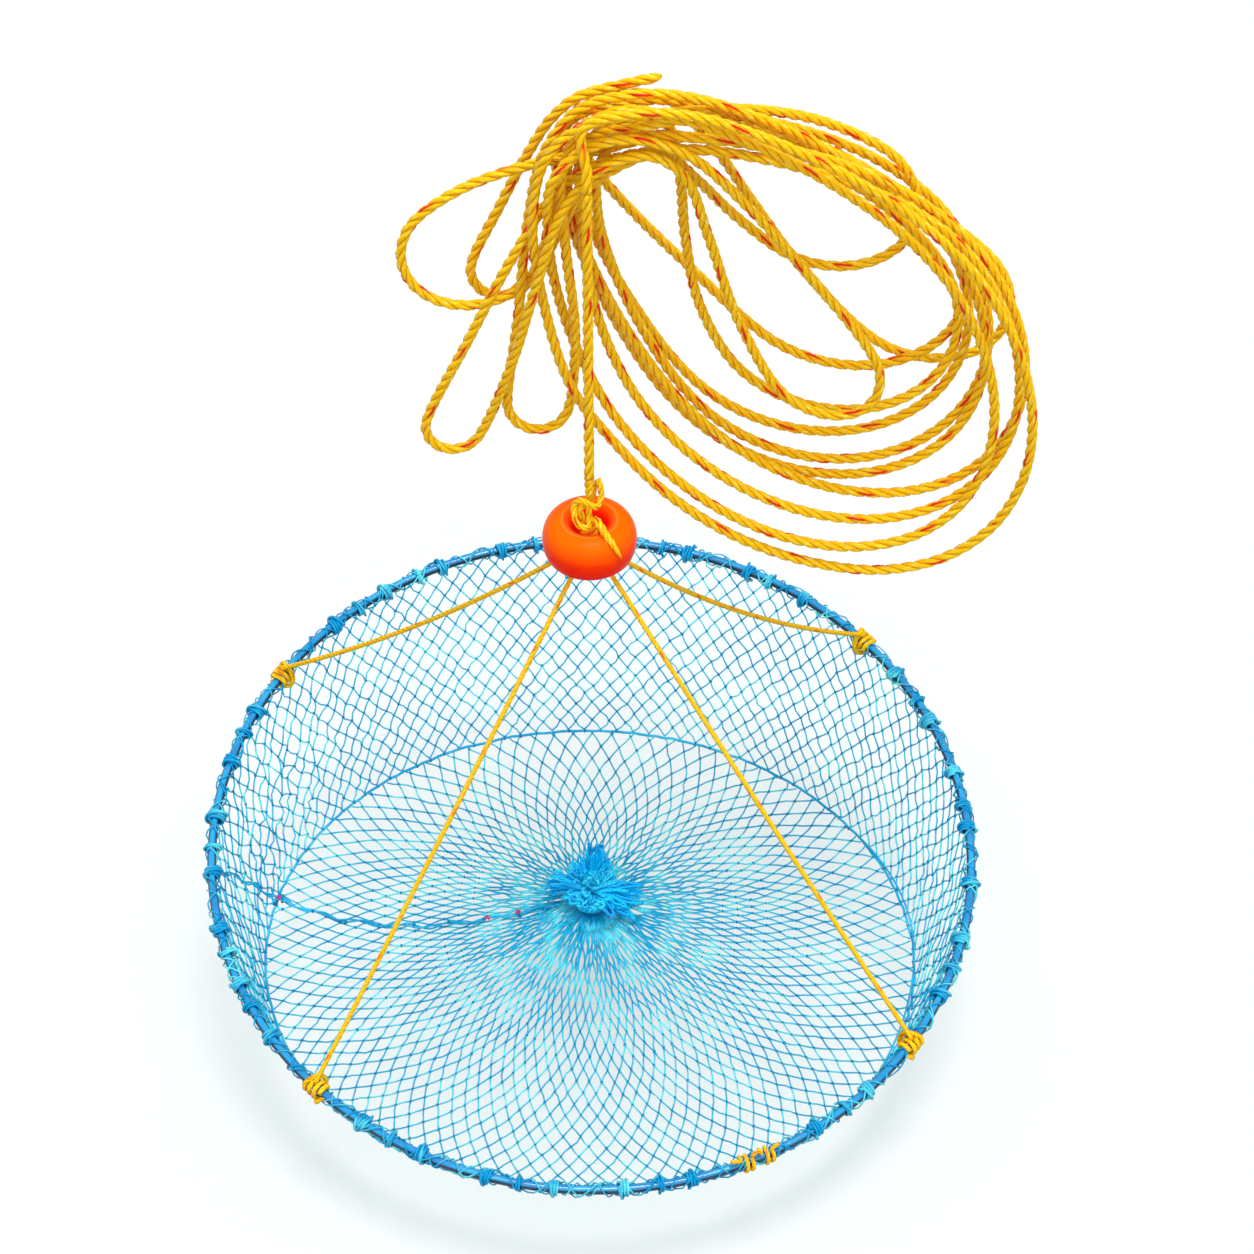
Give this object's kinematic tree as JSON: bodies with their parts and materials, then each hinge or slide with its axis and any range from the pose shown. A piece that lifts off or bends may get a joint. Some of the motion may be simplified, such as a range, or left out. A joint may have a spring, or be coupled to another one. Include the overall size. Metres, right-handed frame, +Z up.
{
  "type": "crab hoop net",
  "caption": "Hand-hauled crab net: a steel hoop with knotted netting, bridle lines through a ring float, and a rope looped up at the grip.",
  "frame": {"origin": "in the middle of the grip that holds the line, on the hanging line's own axis", "axes": "+Z up, +X to the right and +Y away from the viewer, as in the picture"},
  "size_m": [0.4601, 0.4345, 0.5935],
  "materials": {
    "rope": "satin",
    "bridle_cord": "satin",
    "float_plastic": "gloss",
    "coated_rod": "gloss",
    "net_twine": "satin",
    "gathered_twine": "satin",
    "seam_twine": "satin"
  },
  "bodies": {
    "hank": {"line_hank": "rope"},
    "line": {"hauling_line": "rope"},
    "net": {"hoop_rod": "coated_rod", "net_skirt": "net_twine", "net_base": "net_twine", "net_seam_cord": "seam_twine", "net_side_seam": "seam_twine", "net_tuft": "gathered_twine", "net_tuft_tie": "gathered_twine", "rim_wrap_01": "net_twine", "rim_wrap_02": "net_twine", "rim_wrap_03": "net_twine", "rim_wrap_04": "net_twine", "rim_wrap_05": "net_twine", "rim_wrap_06": "net_twine", "rim_wrap_07": "net_twine", "rim_wrap_08": "net_twine", "rim_wrap_09": "net_twine", "rim_wrap_10": "net_twine", "rim_wrap_11": "net_twine", "rim_wrap_12": "net_twine", "rim_wrap_13": "net_twine", "rim_wrap_14": "net_twine", "rim_wrap_15": "net_twine", "rim_wrap_16": "net_twine", "rim_wrap_17": "net_twine", "rim_wrap_18": "net_twine", "rim_wrap_19": "net_twine", "rim_wrap_20": "net_twine", "rim_wrap_21": "net_twine", "rim_wrap_22": "net_twine", "rim_wrap_23": "net_twine", "rim_wrap_24": "net_twine", "rim_wrap_25": "net_twine", "rim_wrap_26": "net_twine", "rim_wrap_27": "net_twine", "rim_wrap_28": "net_twine", "rim_wrap_29": "net_twine", "rim_wrap_30": "net_twine", "rim_wrap_31": "net_twine", "bridle_front_left": "bridle_cord", "bridle_front_right": "bridle_cord", "bridle_back_left": "bridle_cord", "bridle_back_right": "bridle_cord", "hitch_front_left": "bridle_cord", "hitch_front_right": "bridle_cord", "hitch_back_left": "bridle_cord", "hitch_back_right": "bridle_cord", "spare_tie": "bridle_cord", "bridle_gather_knot": "bridle_cord", "line_knot": "rope"},
    "float": {"float": "float_plastic"}
  },
  "joints": [
    {"name": "line_sway", "type": "hinge", "parent": "hank", "child": "line", "pos_m": [0, 0, -0.03], "axis": [0, 1, 0], "range_deg": [-4, 20]},
    {"name": "hoop_tilt", "type": "hinge", "parent": "line", "child": "net", "pos_m": [0, 0, -0.222], "axis": [1, 0, 0], "range_deg": [-15, 10]},
    {"name": "float_spin", "type": "hinge", "parent": "net", "child": "float", "pos_m": [0, 0, -0.262], "axis": [0, 0, 1], "continuous": true}
  ]
}
